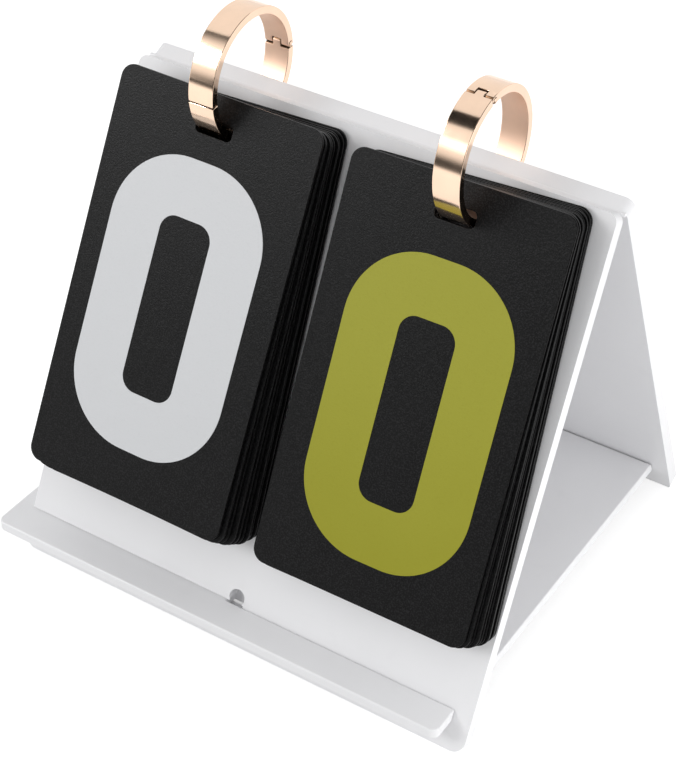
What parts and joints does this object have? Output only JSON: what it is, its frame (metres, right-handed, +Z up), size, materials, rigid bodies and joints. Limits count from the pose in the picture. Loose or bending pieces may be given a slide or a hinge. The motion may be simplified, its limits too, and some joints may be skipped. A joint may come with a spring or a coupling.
{
  "type": "tabletop flip scoreboard",
  "caption": "Free-standing A-frame scoreboard: leaning plates lapped into a level base carry two packs of number cards that flip over on hinged rings.",
  "frame": {"origin": "on the table, under the middle of the whole object's box", "axes": "+X along the ridge to the viewer's right, +Y from the front cards to the rear plate, +Z up"},
  "size_m": [0.1174, 0.1116, 0.1239],
  "materials": {
    "stand": "smooth satin moulded plastic",
    "card": "black plastic sheet with a fine matte grain",
    "white_ink": "matte screen print",
    "yellow_ink": "matte screen print",
    "ring": "polished rose-gold plating"
  },
  "bodies": {
    "stand": {"front_plate": "stand", "rear_plate": "stand", "hinge_web": "stand"},
    "base": {"base_plate": "stand"},
    "left_ring": {"left_ring_half": "ring", "left_ring_pin": "ring"},
    "left_gate": {"left_ring_gate": "ring"},
    "left_number_9": {"left_card_9": "card", "left_numeral_9": "white_ink"},
    "left_number_8": {"left_card_8": "card", "left_numeral_8": "white_ink"},
    "left_number_7": {"left_card_7": "card", "left_numeral_7": "white_ink"},
    "left_number_6": {"left_card_6": "card", "left_numeral_6": "white_ink"},
    "left_number_5": {"left_card_5": "card", "left_numeral_5": "white_ink"},
    "left_number_4": {"left_card_4": "card", "left_numeral_4": "white_ink"},
    "left_number_3": {"left_card_3": "card", "left_numeral_3": "white_ink"},
    "left_number_2": {"left_card_2": "card", "left_numeral_2": "white_ink"},
    "left_number_1": {"left_card_1": "card", "left_numeral_1": "white_ink"},
    "left_number_0": {"left_card_0": "card", "left_numeral_0": "white_ink"},
    "right_ring": {"right_ring_half": "ring", "right_ring_pin": "ring"},
    "right_gate": {"right_ring_gate": "ring"},
    "right_number_9": {"right_card_9": "card", "right_numeral_9": "yellow_ink"},
    "right_number_8": {"right_card_8": "card", "right_numeral_8": "yellow_ink"},
    "right_number_7": {"right_card_7": "card", "right_numeral_7": "yellow_ink"},
    "right_number_6": {"right_card_6": "card", "right_numeral_6": "yellow_ink"},
    "right_number_5": {"right_card_5": "card", "right_numeral_5": "yellow_ink"},
    "right_number_4": {"right_card_4": "card", "right_numeral_4": "yellow_ink"},
    "right_number_3": {"right_card_3": "card", "right_numeral_3": "yellow_ink"},
    "right_number_2": {"right_card_2": "card", "right_numeral_2": "yellow_ink"},
    "right_number_1": {"right_card_1": "card", "right_numeral_1": "yellow_ink"},
    "right_number_0": {"right_card_0": "card", "right_numeral_0": "yellow_ink"}
  },
  "joints": [
    {"name": "base_slide", "type": "slide", "parent": "stand", "child": "base", "axis": [1, 0, 0], "range_m": [-0.055, 0.004]},
    {"name": "left_ring_spin", "type": "hinge", "parent": "stand", "child": "left_ring", "pos_m": [-0.02635, -0.00615, 0.10935], "axis": [1, 0, 0], "continuous": true},
    {"name": "left_ring_gate_hinge", "type": "hinge", "parent": "left_ring", "child": "left_gate", "pos_m": [-0.02635, 0.00737, 0.11077], "axis": [1, 0, 0], "range_deg": [-75, 0]},
    {"name": "left_flip_9", "type": "hinge", "parent": "stand", "child": "left_number_9", "pos_m": [-0.02635, -0.00615, 0.10935], "axis": [-1, 0, 0], "range_deg": [0, 240]},
    {"name": "left_flip_8", "type": "hinge", "parent": "left_number_9", "child": "left_number_8", "pos_m": [-0.02635, -0.00615, 0.10935], "axis": [-1, 0, 0], "range_deg": [0, 240]},
    {"name": "left_flip_7", "type": "hinge", "parent": "left_number_8", "child": "left_number_7", "pos_m": [-0.02635, -0.00615, 0.10935], "axis": [-1, 0, 0], "range_deg": [0, 240]},
    {"name": "left_flip_6", "type": "hinge", "parent": "left_number_7", "child": "left_number_6", "pos_m": [-0.02635, -0.00615, 0.10935], "axis": [-1, 0, 0], "range_deg": [0, 240]},
    {"name": "left_flip_5", "type": "hinge", "parent": "left_number_6", "child": "left_number_5", "pos_m": [-0.02635, -0.00615, 0.10935], "axis": [-1, 0, 0], "range_deg": [0, 240]},
    {"name": "left_flip_4", "type": "hinge", "parent": "left_number_5", "child": "left_number_4", "pos_m": [-0.02635, -0.00615, 0.10935], "axis": [-1, 0, 0], "range_deg": [0, 240]},
    {"name": "left_flip_3", "type": "hinge", "parent": "left_number_4", "child": "left_number_3", "pos_m": [-0.02635, -0.00615, 0.10935], "axis": [-1, 0, 0], "range_deg": [0, 240]},
    {"name": "left_flip_2", "type": "hinge", "parent": "left_number_3", "child": "left_number_2", "pos_m": [-0.02635, -0.00615, 0.10935], "axis": [-1, 0, 0], "range_deg": [0, 240]},
    {"name": "left_flip_1", "type": "hinge", "parent": "left_number_2", "child": "left_number_1", "pos_m": [-0.02635, -0.00615, 0.10935], "axis": [-1, 0, 0], "range_deg": [0, 240]},
    {"name": "left_flip_0", "type": "hinge", "parent": "left_number_1", "child": "left_number_0", "pos_m": [-0.02635, -0.00615, 0.10935], "axis": [-1, 0, 0], "range_deg": [0, 240]},
    {"name": "right_ring_spin", "type": "hinge", "parent": "stand", "child": "right_ring", "pos_m": [0.03035, -0.00615, 0.10935], "axis": [1, 0, 0], "continuous": true},
    {"name": "right_ring_gate_hinge", "type": "hinge", "parent": "right_ring", "child": "right_gate", "pos_m": [0.03035, -0.00851, 0.12274], "axis": [-1, 0, 0], "range_deg": [-75, 0]},
    {"name": "right_flip_9", "type": "hinge", "parent": "stand", "child": "right_number_9", "pos_m": [0.03035, -0.00615, 0.10935], "axis": [-1, 0, 0], "range_deg": [0, 240]},
    {"name": "right_flip_8", "type": "hinge", "parent": "right_number_9", "child": "right_number_8", "pos_m": [0.03035, -0.00615, 0.10935], "axis": [-1, 0, 0], "range_deg": [0, 240]},
    {"name": "right_flip_7", "type": "hinge", "parent": "right_number_8", "child": "right_number_7", "pos_m": [0.03035, -0.00615, 0.10935], "axis": [-1, 0, 0], "range_deg": [0, 240]},
    {"name": "right_flip_6", "type": "hinge", "parent": "right_number_7", "child": "right_number_6", "pos_m": [0.03035, -0.00615, 0.10935], "axis": [-1, 0, 0], "range_deg": [0, 240]},
    {"name": "right_flip_5", "type": "hinge", "parent": "right_number_6", "child": "right_number_5", "pos_m": [0.03035, -0.00615, 0.10935], "axis": [-1, 0, 0], "range_deg": [0, 240]},
    {"name": "right_flip_4", "type": "hinge", "parent": "right_number_5", "child": "right_number_4", "pos_m": [0.03035, -0.00615, 0.10935], "axis": [-1, 0, 0], "range_deg": [0, 240]},
    {"name": "right_flip_3", "type": "hinge", "parent": "right_number_4", "child": "right_number_3", "pos_m": [0.03035, -0.00615, 0.10935], "axis": [-1, 0, 0], "range_deg": [0, 240]},
    {"name": "right_flip_2", "type": "hinge", "parent": "right_number_3", "child": "right_number_2", "pos_m": [0.03035, -0.00615, 0.10935], "axis": [-1, 0, 0], "range_deg": [0, 240]},
    {"name": "right_flip_1", "type": "hinge", "parent": "right_number_2", "child": "right_number_1", "pos_m": [0.03035, -0.00615, 0.10935], "axis": [-1, 0, 0], "range_deg": [0, 240]},
    {"name": "right_flip_0", "type": "hinge", "parent": "right_number_1", "child": "right_number_0", "pos_m": [0.03035, -0.00615, 0.10935], "axis": [-1, 0, 0], "range_deg": [0, 240]}
  ]
}
